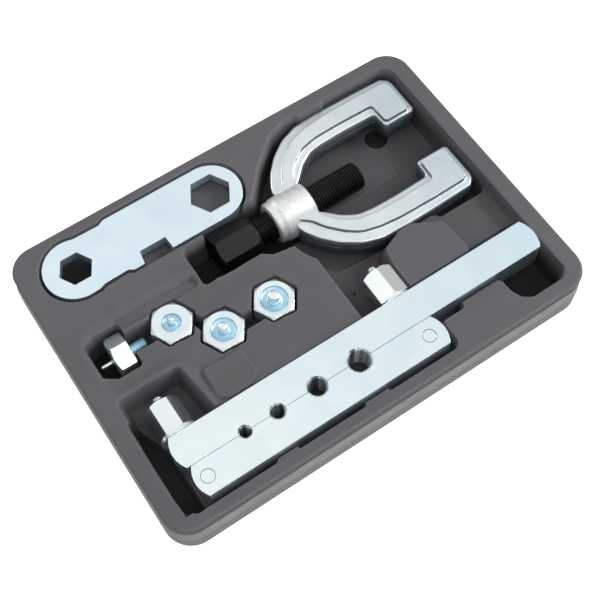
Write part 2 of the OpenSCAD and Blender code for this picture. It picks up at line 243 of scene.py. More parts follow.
def case_outside():
    """The same plastic on the outer walls, banded by height: a dark band of painted shade under the rim, and
    a pale band of painted highlight below the lid step.
    """
    p = Paint("case_outside")
    grain = p.noise(2600, 4, 0.6)
    rub = p.noise(110, 5, 0.65, p.stretched((1, 1, 2.5)))
    height = p.along("Z", 0, 24)
    # painted light: shade in the band under the rim, a highlight on the band below the lid step
    painted_light_bands = p.ramp(height, [(0.04, (0.085, 0.084, 0.088)), (0.46, (0.095, 0.093, 0.097)),
                            (0.50, (0.130, 0.127, 0.131)), (0.74, (0.165, 0.161, 0.166)),
                            (0.80, (0.022, 0.022, 0.024)), (0.94, (0.030, 0.030, 0.032)),
                            (0.99, (0.096, 0.095, 0.102))])
    tint = p.ramp(rub, [(0.35, (0.82, 0.82, 0.82)), (0.65, (1.14, 1.14, 1.14))])
    p.set(Base_Color=p.times(painted_light_bands, tint), Roughness=p.grey(rub, 0.60, 0.72), Specular_IOR_Level=0.25)
    p.bump([(grain, 0.25, 0.05)])
    return p.mat


def zinc_plate(name, low, high, brush, edge, rough, metal=0.9, grain=0.03, light_falloff=None):
    """Bright blue-white zinc: fine lines, drawn out by brush, and faint cloudy stains.
    low and high are the plating's colours. The last argument tints it along X as painted shading, where the
    light falls off: two of (x in mm, colour)."""
    p = Paint(name)
    lines = p.noise(260, 2, 0.5, p.stretched(brush))
    cloud = p.noise(60, 3, 0.6)
    big = p.noise(16, 3, 0.55)
    colour = p.ramp(cloud, [(0.30, low), (0.62, high)])
    tint = p.ramp(big, [(0.35, (0.955, 0.98, 1.0)), (0.65, (1.0, 1.0, 0.985))])
    streak = p.ramp(lines, [(0.30, (0.982, 0.986, 0.99)), (0.62, (1.0, 1.0, 1.0))])
    colour = p.times(p.times(colour, tint), streak)
    # painted shading: the colour darkens along X, where the light falls off towards one end
    if light_falloff:
        (x0, near), (x1, far) = light_falloff
        colour = p.times(colour, p.ramp(p.along("X", x0, x1), [(0.0, near), (1.0, far)]))
    p.set(Base_Color=colour, Metallic=metal, Roughness=p.grey(cloud, *rough))
    p.bump([(lines, grain, 0.03)], edge)
    return p.mat


def bore_zinc():
    """Walls of the tube holes: plating scored along the bore by the reamer, with painted highlights and
    painted shade in bright and dark streaks along the scoring.
    """
    p = Paint("zinc_bore")
    score = p.noise(330, 2, 0.5, p.stretched((1, 1, 0.04)))
    # painted highlights and painted shade: bright and dark streaks along the scoring
    base = p.ramp(score, [(0.40, (0.14, 0.165, 0.175)), (0.47, (0.52, 0.57, 0.59)),
                          (0.53, (0.90, 0.95, 0.96)), (0.62, (0.40, 0.46, 0.48))])
    p.set(Base_Color=base, Metallic=0.45, Roughness=p.grey(score, 0.30, 0.42))
    p.bump([(score, 0.4, 0.05)])
    return p.mat


def forged_zinc():
    """Zinc over a drop-forged skin: hammered undulation and scale, a painted shade line at the step below
    the top face, and flanks darkened by painted shade towards the bottom."""
    p = Paint("forged_zinc")
    scale = p.noise(900, 4, 0.65)
    lumps = p.noise(190, 3, 0.5)
    cloud = p.noise(70, 4, 0.6)
    base = p.ramp(cloud, [(0.30, (0.70, 0.76, 0.78)), (0.65, (0.80, 0.855, 0.865))])
    # height with the lumps added, so that the step's painted shade line is ragged
    ragged = p.calc("MULTIPLY_ADD", lumps, 0.5 * MM, p.coordinate("Z"))
    rise = p.grey(ragged, 0.0, 1.0, (AXIS_Z + 5.9) * MM, (AXIS_Z + 7.6) * MM)
    # painted shade: a dark line at the step below the top face, where its wall turns from the light
    dark = (0.36, 0.40, 0.41)
    step = p.ramp(rise, [(0.0, (1, 1, 1)), (0.15, dark), (0.75, dark), (0.95, (1, 1, 1))])
    # painted shade: the flanks darker towards the bottom, where they face away from the light
    flank = p.along("Z", AXIS_Z - 5, AXIS_Z + 4.6)
    skin = p.ramp(flank, [(0.0, (0.28, 0.32, 0.34)), (0.7, (0.42, 0.47, 0.49)), (1.0, (1, 1, 1))])
    far = p.ramp(p.along("X", 45, 95), [(0.0, (1, 1, 1)), (1.0, (0.80, 0.84, 0.88))])
    base = p.times(p.times(base, step), p.times(skin, far))
    p.set(Base_Color=base, Metallic=0.9, Roughness=p.grey(lumps, 0.28, 0.42))
    p.bump([(lumps, 0.12, 0.12), (scale, 0.30, 0.05)])
    return p.mat


def hub_zinc():
    """Hub of the yoke: pale matt zinc, blasted, with a fine sparkle."""
    p = Paint("hub_zinc")
    sparkle = p.noise(1100, 3, 0.7)
    rings = p.noise(500, 3, 0.6, p.stretched((14, 1, 1)))
    cloud = p.noise(120, 4, 0.6)
    base = p.ramp(cloud, [(0.3, (0.83, 0.845, 0.85)), (0.7, (0.93, 0.935, 0.935))])
    speck = p.ramp(sparkle, [(0.38, (0.80, 0.81, 0.82)), (0.60, (1.0, 1.0, 1.0))])
    p.set(Base_Color=p.times(base, speck), Metallic=0.7, Roughness=p.grey(sparkle, 0.44, 0.56))
    p.bump([(rings, 0.10, 0.03), (sparkle, 0.45, 0.06)])
    return p.mat


def black_oxide():
    """Oiled black oxide steel: nearly black, satin, worn a little on the crests."""
    p = Paint("black_oxide")
    cloud = p.noise(240, 4, 0.6)
    lines = p.noise(700, 2, 0.5, p.stretched((1, 10, 10)))
    base = p.ramp(cloud, [(0.3, (0.004, 0.004, 0.004)), (0.75, (0.009, 0.009, 0.010))])
    p.set(Base_Color=base, Metallic=0.1, Roughness=p.grey(cloud, 0.30, 0.42), Specular_IOR_Level=0.34)
    p.bump([(lines, 0.12, 0.03)], 0.2)
    return p.mat


PLASTIC = case_plastic()
PLASTIC_OUT = case_outside()
# flat zinc stays rougher than 0.28: below that the denoiser leaves a stipple on it
ZINC = zinc_plate("zinc_plate", (0.735, 0.865, 0.955), (0.80, 0.92, 0.99), (1, 14, 14), 0.35, (0.29, 0.37))
# the bars' zinc has painted shading along X: darker and bluer towards the right end, where the light falls
# off
ZINC_BAR = zinc_plate("zinc_plate_bars", (0.86, 0.94, 0.945), (0.92, 0.985, 0.985), (1, 12, 12), 0.15,
                      (0.285, 0.35), 0.97, light_falloff=((-90, (1.0, 1.0, 1.0)), (95, (0.765, 0.85, 0.94))))
ZINC_TURNED = zinc_plate("zinc_turned", (0.80, 0.88, 0.90), (0.90, 0.955, 0.965), (3, 3, 1), 0.0,
                         (0.285, 0.34), grain=0.04)
ZINC_BLUE = zinc_plate("zinc_blue", (0.38, 0.62, 0.75), (0.54, 0.77, 0.88), (2, 2, 1), 0.0,
                       (0.34, 0.44), 0.7)
ZINC_NUT = zinc_plate("zinc_nut", (0.88, 0.945, 0.95), (0.95, 0.99, 0.99), (1, 1, 1), 0.1,
                      (0.13, 0.20), 0.98)
ZINC_BORE = bore_zinc()
FORGED = forged_zinc()
HUB = hub_zinc()
BLACK = black_oxide()

# ---------------------------------------------------------------- mesh helpers


def make_object(name, verts, faces, material, body, sharp, replaced=()):
    """Verts are in mm. sharp is the angle in degrees past which an edge stays sharp."""
    mesh = bpy.data.meshes.new(name)
    mesh.from_pydata([tuple(v) for v in np.asarray(verts, float) * MM], [], faces)
    mesh.validate()
    mesh.update()
    work = bmesh.new()
    work.from_mesh(mesh)
    bmesh.ops.remove_doubles(work, verts=work.verts, dist=0.002 * MM)
    bmesh.ops.recalc_face_normals(work, faces=work.faces)
    work.to_mesh(mesh)
    work.free()
    mesh.polygons.foreach_set("use_smooth", [True] * len(mesh.polygons))
    mesh.set_sharp_from_angle(angle=math.radians(sharp))
    obj = bpy.data.objects.new(name, mesh)
    bpy.context.scene.collection.objects.link(obj)
    mesh.materials.append(material)
    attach(obj, body)
    if replaced:
        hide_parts(*replaced)
    return obj


def soft(points, radius, steps=5):
    """A closed outline with every corner rounded by an arc; a point's third number overrides the radius."""
    radii = [p[2] if len(p) > 2 else radius for p in points]
    pts = [np.array(p[:2], float) for p in points]
    out = []
    for i, b in enumerate(pts):
        a, c = pts[i - 1], pts[(i + 1) % len(pts)]
        u = (a - b) / np.linalg.norm(a - b)
        w = (c - b) / np.linalg.norm(c - b)
        gap = math.acos(max(-1, min(1, float(u @ w))))
        if gap > math.pi - 1e-3:
            out.extend([b] * (steps + 1))
            continue
        t = min(radii[i] / math.tan(gap / 2), 0.48 * min(np.linalg.norm(a - b), np.linalg.norm(c - b)))
        q = t * math.tan(gap / 2)
        bis = (u + w) / np.linalg.norm(u + w)
        o = b + bis * (q / math.sin(gap / 2))
        a0 = math.atan2(*(b + u * t - o)[::-1])
        a1 = math.atan2(*(b + w * t - o)[::-1])
        d = (a1 - a0 + math.pi) % (2 * math.pi) - math.pi
        for k in range(steps + 1):
            g = a0 + d * k / steps
            out.append(o + q * np.array([math.cos(g), math.sin(g)]))
    return np.array(out)


def polygon_distance(x, y, outline):
    """Signed distance from each point to a closed outline, negative inside."""
    a = np.asarray(outline, float)
    b = np.roll(a, -1, axis=0)
    best = np.full(x.shape, 1e9)
    inside = np.zeros(x.shape, bool)
    for (ax, ay), (bx, by) in zip(a, b):
        ex, ey = bx - ax, by - ay
        length = ex * ex + ey * ey
        if length < 1e-12:
            continue
        t = np.clip(((x - ax) * ex + (y - ay) * ey) / length, 0, 1)
        best = np.minimum(best, (x - ax - t * ex) ** 2 + (y - ay - t * ey) ** 2)
        crosses = ((ay > y) != (by > y))
        if ey != 0:
            inside ^= crosses & (x < ax + (y - ay) * ex / ey)
    return np.where(inside, -1, 1) * np.sqrt(best)


def box_distance(x, y, x0, x1, y0, y1, radius):
    """Signed distance to a rounded rectangle."""
    qx = np.abs(x - (x0 + x1) / 2) - (x1 - x0) / 2 + radius
    qy = np.abs(y - (y0 + y1) / 2) - (y1 - y0) / 2 + radius
    return np.hypot(np.maximum(qx, 0), np.maximum(qy, 0)) + np.minimum(np.maximum(qx, qy), 0) - radius


def smooth(t):
    t = np.clip(t, 0, 1)
    return t * t * (3 - 2 * t)


def step_down(distance, depth, top=1.2, foot=1.6, draft=0.07):
    """Height change of a moulded wall: 0 outside the outline, -depth on the floor, both ends rounded."""
    depth = np.asarray(depth, float)
    run = -distance
    width = 0.6 + draft * np.abs(depth)
    wall = smooth((run + 0.35) / width)
    lip = np.clip(1 - (distance + 0.35) / top, 0, 1)
    round_top = 0.28 * lip ** 2
    base = np.clip(1 - (run - width + 0.35) / foot, 0, 1)
    round_foot = 0.5 * base ** 2
    drop = depth * wall + round_top * np.sign(depth) * (1 - wall)
    return -(drop - round_foot * wall * np.minimum(np.abs(depth) / 4, 1) * np.sign(depth))


# ---------------------------------------------------------------- the case tray

WRENCH_A = (-82.0, 55.3)
WRENCH_B = (-11.4, 55.3)
WRENCH_R = 15.2
FLOOR_T = 3.2
RECESS_Z = RIM_Z - 1.6
GAP_Z = 11.5  # floor of the gaps between the standing adapters
NUT_Z = 11  # floor under the nuts


def case_distance(x, y):
    """Signed distance to the case's outline at the rim."""
    return box_distance(x, y, -CASE_HALF[0], CASE_HALF[0], -CASE_HALF[1], CASE_HALF[1], CASE_RADIUS)


def wrench_distance(x, y):
    """Signed distance to the wrench's outline, without its edge notch."""
    body = [(-82, 40.1), (-77.5, 40.3), (-74.5, 41.4), (-62.6, 41.6), (-60.4, 40.1), (-11.4, 40.1),
            (-11.4, 70.5), (-59.8, 70.5), (-62.8, 69.1), (-75.1, 69.3), (-82, 70.5)]
    near = polygon_distance(x, y, soft(body, 3))
    for cx, cy in (WRENCH_A, WRENCH_B):
        near = np.minimum(near, np.hypot(x - cx, y - cy) - WRENCH_R)
    return near


def tray_height(x, y):
    """Height of the tray's upper skin over the plan point (x, y)."""
    z = np.full(x.shape, RIM_Z)

    def cut(distance, floor, **shape):
        """Lower the skin to floor inside the outline; overlapping pockets keep the lower one."""
        nonlocal z
        depth = np.maximum(z - floor, 0)
        z = np.minimum(z, z + step_down(distance, depth, **shape))

    def pocket(points, radius, floor, **shape):
        cut(polygon_distance(x, y, soft(points, radius)), floor, **shape)

    def within(points, radius, border):
        """1 inside an outline and 0 outside, over a soft border of that width."""
        return smooth(0.5 - polygon_distance(x, y, soft(points, radius)) / border)

    # shallow field round the adapters, with a broad soft border, and the pad left standing in it
    field = within([(-98, -7), (-98, 19), (-92, 24.6), (-46, 25.4), (-38, 21), (-34, 14), (8, 8), (14, 2),
                    (14, -38), (-62, -38), (-64, -12), (-67, -7)], 5, 4.4)
    pad = within([(-60.8, -17.8), (-41, -18.6), (-40.4, -32), (-47.6, -36.6), (-57, -36.4),
                  (-61.8, -31.8)], 2, 2.2)
    z = z - (RIM_Z - RECESS_Z) * (field * (1 - pad))
    # groove between the wrench and the adapters
    pocket([(-82, 18.2), (-82, 24), (-41, 23.8), (-39.6, 18)], 2, RECESS_Z - 1.2,
           top=1.0, foot=0.6, draft=0.6)
    # wrench, lying on two ribs, with a deeper well under its closed end
    cut(wrench_distance(x, y) - 1.3, WRENCH_Z - 1.2, top=0.9, foot=1.0)
    for x0, x1 in ((-73, -62), (-36, -25)):
        d = box_distance(x, y, x0, x1, 46, 65, 2)
        z = np.where(d < 0, np.maximum(z, WRENCH_Z - 0.02), z)
    cut(np.hypot(x - WRENCH_A[0], y - WRENCH_A[1]) - 9.4, FLOOR_T + 2, top=0.6)
    # screw head, its run-back, hub
    pocket([(-38, 36.6), (-38, 16.4), (-24, 15.2), (-9, 15.6), (-4.4, 12), (8, 10), (8, 41.2),
            (-25.5, 41.2), (-25.5, 36.6)], 2.5, FLOOR_T)
    pocket([(2, AXIS_Y - 12), (28, AXIS_Y - 12), (28, AXIS_Y + 12), (2, AXIS_Y + 12)], 2, FLOOR_T)
    # yoke: the floor is 1 mm under its arms, and the hub hangs lower
    yoke_floor = YOKE_LOW[2] + 2.5
    pocket([(3, 41.4), (3, 14), (5.5, 10.6), (9.6, 2), (18, -8), (36, -9.7), (70, -9.7), (72, -12.5),
            (99.3, -12.5), (99.3, 69.5, 7), (61, 69.5, 1), (59.5, 68.3, 1), (46, 68.3, 1), (44.5, 69.5, 1),
            (38, 69.5), (29, 66.6), (15, 55)], 4, yoke_floor,
           top=2.4, foot=2.4, draft=0.11)
    # floor raised a little between the arms, with a round well in it
    d = box_distance(x, y, 30, 74.6, 22.5, 60, 2)
    z = z + 0.6 * smooth(0.5 - d / 1.2) * smooth((42 - y) / 9)
    cut(np.hypot(x - 77.5, y - 46.5) - 5.5, FLOOR_T, top=0.8, foot=0.8)
    # right nut and the corner towards the yoke
    pocket([(11, 2), (11, -39.5), (36.2, -39.5), (36.6, -24), (38.3, -13.9), (48.6, -10), (50, -6),
            (24, 4)], 3, NUT_Z, top=1.5, draft=0.16)
    # vent hole
    cut(np.hypot(x - 18.3, y + 19.8) - 0.5, 8, top=0.2, foot=0.1, draft=0.01)
    # room for the nut's corners as it turns and runs off
    low, high = span("clamp_nut_right")
    middle, room, travel = (low[0] + high[0]) / 2, 8.8, 2.4
    cut(box_distance(x, y, middle - room, middle + room, low[1], high[1] + travel, 0.4), NUT_Z,
        top=0.3, foot=0.2, draft=0.02)
    # shelf between the yoke and the long bar
    pocket([(70.6, -40), (70.4, -32), (69.3, -16.8), (56, -9.6), (58, -6), (99.3, -6), (99.3, -40)], 4, 17,
           top=1.8, draft=0.14)
    # die bars: seats, deep ends, gaps along the front, finger recess
    cut(box_distance(x, y, -99, 71, SEAM_Y - 0.5, -35.9, 0.5), BAR_Z, top=0.7, foot=0.1, draft=0.02)
    cut(box_distance(x, y, -99, 37.6, -69.2, SEAM_Y, 0.5), BAR_Z, top=0.7, foot=0.1, draft=0.02)
    pocket([(-99.4, -11), (-99.4, -62), (-95, -70.4), (-90.5, -70.4), (-90.5, -34)], 3, 4.5,
           top=1.6, foot=2)
    pocket([(-99.4, -30), (-99.4, -62), (-95, -70.4), (-56, -70.4), (-55, -68), (-60, -60)], 2, BAR_Z,
           top=0.8, foot=0.3)
    pocket([(-47, -60), (-45, -70.6), (-12, -70.6), (-9, -60)], 1, BAR_Z, top=0.8, foot=0.3)
    pocket([(-1, -60), (1, -70.6), (35.5, -70.6), (38, -68.4), (38.4, -57), (50, -57), (52, -50)], 1.5,
           BAR_Z, top=0.8, foot=0.3)
    pocket([(66, -50), (70, -33), (99.3, -33), (99.3, -66), (95.5, -69.8), (79, -69.8), (74.6, -67),
            (72.6, -62), (72.4, -56)], 4, 6, top=1.8, foot=3, draft=0.10)
    # left nut
    pocket([(-98.6, -10.5), (-68, -10.5), (-64.4, -36.5), (-64.4, -40), (-98.6, -40)], 2.5, NUT_Z,
           top=1.0, foot=2.4, draft=0.24)
    # adapters on their shanks
    for node in ("adapter_6", "adapter_8", "adapter_10"):
        low, high = span(node)
        cx, cy = (low[:2] + high[:2]) / 2
        corners = [math.radians(60 * k + ADAPTER_TURN) for k in range(6)]
        seat = [(cx + 11.5 * math.cos(g), cy + 11.5 * math.sin(g)) for g in corners]
        pocket(seat, 1.2, low[2] + SHANK, top=0.8, foot=0.4, draft=0.03)
    pocket([(-54, 8), (-50, -3), (-45, -1), (-50, 9)], 1, GAP_Z, top=0.9, foot=0.6)
    pocket([(-36, -5), (-36, -12), (-24, -12), (-24, -5)], 1, GAP_Z, top=0.9, foot=0.6)
    # adapter on its side
    pocket([(-97.6, 20), (-97.6, 3), (-92, -1), (-79.8, -1), (-79.8, 22.2), (-92, 22.2)], 1.8, FLOOR_T,
           top=1.2, foot=1.0)
    pocket([(-82, 5.6), (-82, 16.2), (-66, 16.2), (-66, 5.6)], 1.5, 9, top=0.9, foot=0.8)
    # outer top edge of the rim
    edge = -case_distance(x, y)
    roll = 1.1
    away = np.clip(1 - edge / roll, 0, 1)
    return z - roll * (1 - np.sqrt(np.clip(1 - away ** 2, 0, 1)))


def slope(distance, x, y):
    """A signed distance, and the direction in which it grows."""
    eps = 0.01
    d = distance(x, y)
    return d, (distance(x + eps, y) - d) / eps, (distance(x, y + eps) - d) / eps


def relief(outline_distance, low, high, pitch, top):
    """A skin over a plan region: a grid clipped to the outline, its border points moved onto the outline.
    top gives the height over a plan point."""
    xs = np.arange(low[0] - pitch, high[0] + 1.5 * pitch, pitch)
    ys = np.arange(low[1] - pitch, high[1] + 1.5 * pitch, pitch)
    gx, gy = np.meshgrid(xs, ys, indexing="ij")
    d = outline_distance(gx, gy)
    keep = (d < 0.0)
    full = keep[:-1, :-1] & keep[1:, :-1] & keep[1:, 1:] & keep[:-1, 1:]
    # how many faces meet at each point
    count = np.zeros(keep.shape, int)
    count[:-1, :-1] += full
    count[1:, :-1] += full
    count[1:, 1:] += full
    count[:-1, 1:] += full
    used = count > 0
    border = used & (count < 4)
    px, py = gx.copy(), gy.copy()
    for _ in range(4):
        d, nx, ny = slope(outline_distance, px[border], py[border])
        px[border] -= d * nx
        py[border] -= d * ny
    number = -np.ones(keep.shape, int)
    number[used] = np.arange(used.sum())
    verts = np.stack([px[used], py[used], top(px[used], py[used])], 1)
    i, j = np.nonzero(full)
    faces = np.stack([number[i, j], number[i + 1, j], number[i + 1, j + 1], number[i, j + 1]], 1)
    return verts, faces


def border_edges(faces):
    """Directed edges used by one face only."""
    pairs = np.concatenate([np.stack([faces[:, k], faces[:, (k + 1) % faces.shape[1]]], 1)
                            for k in range(faces.shape[1])])
    key = np.sort(pairs, 1)
    _, index, count = np.unique(key, axis=0, return_index=True, return_counts=True)
    return pairs[index[count == 1]]


def build_tray():
    """One shell: the pressed upper skin, the stepped outer wall and a flat underside."""
    pitch = 0.5
    lip = 0.3  # the last of the rolled edge is part of the wall, so that its rings are even
    verts, faces = relief(lambda x, y: case_distance(x, y) + lip, -CASE_HALF, CASE_HALF, pitch, tray_height)
    rim = border_edges(faces)
    verts = list(verts)
    faces = [tuple(f) for f in faces]
    # outer wall below the rolled edge: (offset outwards, height)
    wall = [(-0.165, RIM_Z - 0.52), (-0.055, RIM_Z - 0.757), (-0.01, RIM_Z - 0.95),
            (-0.02, RIM_Z - 1.3), (-0.25, RIM_Z - 2.0), (-0.25, LID_Z + 3.2), (0.0, LID_Z + 2.6),
            (LID_STEP - 0.1, LID_Z - 1.6), (LID_STEP, LID_Z - 2.6), (LID_STEP, 3.2),
            (LID_STEP - 0.35, 1.7), (LID_STEP - 1.2, 0.6), (-2.2, 0.02)]
    ids = sorted(set(rim.ravel()))
    x, y = np.array([verts[i][:2] for i in ids]).T
    _, nx, ny = slope(case_distance, x, y)
    previous = dict(zip(ids, ids))
    for out, height in wall:
        base = len(verts)
        out += lip
        verts.extend(np.stack([x + nx * out, y + ny * out, np.full(len(ids), height)], 1))
        current = {i: base + k for k, i in enumerate(ids)}
        for a, b in rim:
            faces.append((previous[a], current[a], current[b], previous[b]))
        previous = current
    middle = len(verts)
    verts.append(np.array([0.0, 0.0, 0.0]))
    for a, b in rim:
        faces.append((previous[a], middle, previous[b]))
    made = make_object("tray_shell", np.array(verts), faces, PLASTIC, "tray", 42,
                       ["case_tray"])
    made.data.materials.append(PLASTIC_OUT)
    centres = np.empty(len(made.data.polygons) * 3)
    made.data.polygons.foreach_get("center", centres)
    centres = centres.reshape(-1, 3) / MM
    outside = case_distance(centres[:, 0], centres[:, 1]) > -lip
    made.data.polygons.foreach_set("material_index", outside.astype(np.int32))


# ---------------------------------------------------------------- turned and hexagonal parts


def hex_radius(angle, across, turn=0.0, blunt=0.05):
    """Distance from the centre to a hexagon's side at that angle; blunt rounds the six corners, in mm."""
    g = (angle - turn) % (math.pi / 3) - math.pi / 6
    flat = across / 2 / np.cos(g)
    corner = across / math.sqrt(3) - blunt
    k = 0.05  # softness of the smaller of the two
    return -k * np.logaddexp(-flat / k, -corner / k)


def tube_faces(sides, rows, first=0):
    """Quads between rows of points that follow each other, numbered from first."""
    faces = []
    for i in range(rows - 1):
        for k in range(sides):
            a, b = first + i * sides + k, first + i * sides + (k + 1) % sides
            faces.append((a, b, b + sides, a + sides))
    return faces


def close_ends(verts, faces, sides, rows, low, high):
    """verts and faces with each end closed to a point on the axis, at heights low and high."""
    centre, last = len(verts), (rows - 1) * sides
    for k in range(sides):
        after = (k + 1) % sides
        faces.append((centre, after, k))
        faces.append((centre + 1, last + k, last + after))
    return np.concatenate([verts, [[0.0, 0.0, low], [0.0, 0.0, high]]]), faces


def close_bore(faces, sides, rows):
    """Join the last row of points to the first: the wall of a through bore."""
    last = (rows - 1) * sides
    for k in range(sides):
        after = (k + 1) % sides
        faces.append((k, last + k, last + after, after))


def spun(stations, sides):
    """Open skin along +Z from stations of (z, radius or function of angle): verts, faces, sides, rows."""
    angles = np.arange(sides) * 2 * math.pi / sides
    verts = []
    for z, radius in stations:
        r = radius(angles) if callable(radius) else np.full(sides, float(radius))
        verts.append(np.stack([r * np.cos(angles), r * np.sin(angles), np.full(sides, float(z))], 1))
    rows = len(verts)
    return np.concatenate(verts), tube_faces(sides, rows), sides, rows


def capped(stations, sides):
    """The same skin with both ends closed."""
    return close_ends(*spun(stations, sides), stations[0][0], stations[-1][0])


def thread(z0, z1, radius, pitch, depth, sides, run_in=False, chamfer=None):
    """A right-handed V thread as an open helical skin: verts, faces, sides, rows. With run_in it grows
    from nothing over its first turn, and chamfer cones its far end."""
    per = 8  # rows to a turn
    rows = max(int((z1 - z0) / pitch * per), 4)
    z = np.linspace(z0, z1, rows + 1)
    angles = np.arange(sides) * 2 * math.pi / sides
    zz, aa = np.meshgrid(z, angles, indexing="ij")
    turn = (zz / pitch - aa / (2 * math.pi)) % 1.0
    vee = np.abs(turn * 2 - 1)
    shape = np.clip((vee - 0.12) / 0.76, 0, 1)
    fade = np.ones_like(zz)
    if run_in:
        fade *= np.clip((zz - z0) / pitch, 0, 1)
    r = radius - depth * shape * fade
    if chamfer:
        r = np.minimum(r, radius - chamfer + np.clip(z1 - zz, 0, 9))
    verts = np.stack([r * np.cos(aa), r * np.sin(aa), zz], -1).reshape(-1, 3)
    return verts, tube_faces(sides, rows + 1), sides, rows + 1


def merge(*parts):
    """Several (verts, faces) as one."""
    verts, faces, base = [], [], 0
    for v, f in parts:
        verts.append(np.asarray(v, float))
        faces.extend(tuple(int(i) + base for i in face) for face in f)
        base += len(v)
    return np.concatenate(verts), faces


def turned(verts, matrix):
    """verts by a 4x4 matrix, in mm."""
    v = np.c_[np.asarray(verts, float), np.ones(len(verts))]
    return (v @ np.array(matrix).T)[:, :3]


def along_x(x, y, z):
    """Lays a shape built along +Z on the line through (x, y, z) along +X."""
    return Matrix.Translation((x, y, z)) @ Matrix.Rotation(math.radians(90), 4, "Y")


def along_y(x, y, z):
    """The same along +Y."""
    return Matrix.Translation((x, y, z)) @ Matrix.Rotation(math.radians(-90), 4, "X")


def minimum(shape, limit):
    """The smaller of a profile and a round limit."""
    return lambda angles: np.minimum(shape(angles), limit)


def hex_stations(across, length, turn, foot, head, steps=7):
    """Stations of a hexagon bar with a cone at each end: foot and head are (start radius, cone length)."""
    def shape(angles):
        return hex_radius(angles, across, turn)

    out = []
    corner = across / math.sqrt(3)
    for k in range(steps):
        t = k / (steps - 1)
        out.append((foot[1] * t, minimum(shape, foot[0] + (corner + 0.5 - foot[0]) * t)))
    for k in range(steps):
        t = k / (steps - 1)
        out.append((length - head[1] * (1 - t), minimum(shape, corner + 0.5 + (head[0] - corner - 0.5) * t)))
    return out


SCREW_HEAD = 20.9  # length of the screw's hexagon


def build_screw():
    """Forcing screw: hexagon head, thread, and the socket for the swivel nose in its end."""
    low, high = span("forcing_screw")
    length = high[0] - low[0]
    # thread, with a flat ring round the swivel's socket at its end
    tv, tf, n, rows = thread(SCREW_HEAD - 1, length, 7.0, 1.5, 0.82, 64, True, 1.0)
    last = (rows - 1) * n
    for r, z in ((4.62, length), (4.55, length - 0.3), (4.55, length - 10.5)):
        base = len(tv)
        g = np.arange(n) * 2 * math.pi / n
        tv = np.concatenate([tv, np.stack([r * np.cos(g), r * np.sin(g), np.full(n, z)], 1)])
        for k in range(n):
            tf.append((last + k, last + (k + 1) % n, base + (k + 1) % n, base + k))
        last = base
    tf.append(tuple(last + k for k in range(n))[::-1])
    # head, its outer end dished a little and its inner end coned down to the thread
    head = hex_stations(17.8, SCREW_HEAD, math.radians(55), (9.0, 1.2), (8.2, 3.0))
    stations = [(0.9, 5.6), (0.25, 7.6), (0.0, 8.2), *head, (21.0, 7.6), (21.1, 6.9), (21.1, 6.4)]
    v, f = merge((tv, tf), capped(stations, 180))
    v = turned(v, along_x(low[0], AXIS_Y, AXIS_Z))
    make_object("screw_threaded", v, f, BLACK, "screw", 28, ["forcing_screw"])


def build_nut(node, body, turn_deg):
    """Hexagon nut with coned ends and a through bore, counterbored at its far end."""
    low, high = span(node)
    y0, y1 = low[1], high[1]
    length = y1 - y0
    x, z = (low[0] + high[0]) / 2, (low[2] + high[2]) / 2
    body_stations = hex_stations(14.3, length, math.radians(turn_deg), (7.5, 0.5), (6.5, 1.5))
    stations = [(0.0, 4.05), (0.0, 7.3), *body_stations,
                (length, 5.4), (length - 0.6, 4.35), (length - 0.6, 4.05)]
    v, f, n, rows = spun(stations, 180)
    close_bore(f, n, rows)
    v = turned(v, along_y(x, y0, z))
    make_object(node + "_body", v, f, ZINC_NUT, body, 26, [node])


def build_stud(node, body, nut):
    """Plain stud with a smaller threaded tip that stands out of its nut."""
    low, high = span(node)
    x, z = (low[0] + high[0]) / 2, (low[2] + high[2]) / 2
    end = span(nut)[1][1] - 0.4 - low[1]
    full = high[1] - low[1]
    r = (high[0] - low[0]) / 2
    shaft = capped([(0, r - 0.6), (0.6, r), (end - 0.6, r), (end, r - 0.6)], 48)
    tip = close_ends(*thread(end - 0.5, full, 2.4, 0.9, 0.34, 40, chamfer=0.5), end - 0.5, full)
    v, f = merge(shaft, tip)
    v = turned(v, along_y(x, low[1], z))
    make_object(node + "_rod", v, f, ZINC_TURNED, body, 35, [node])


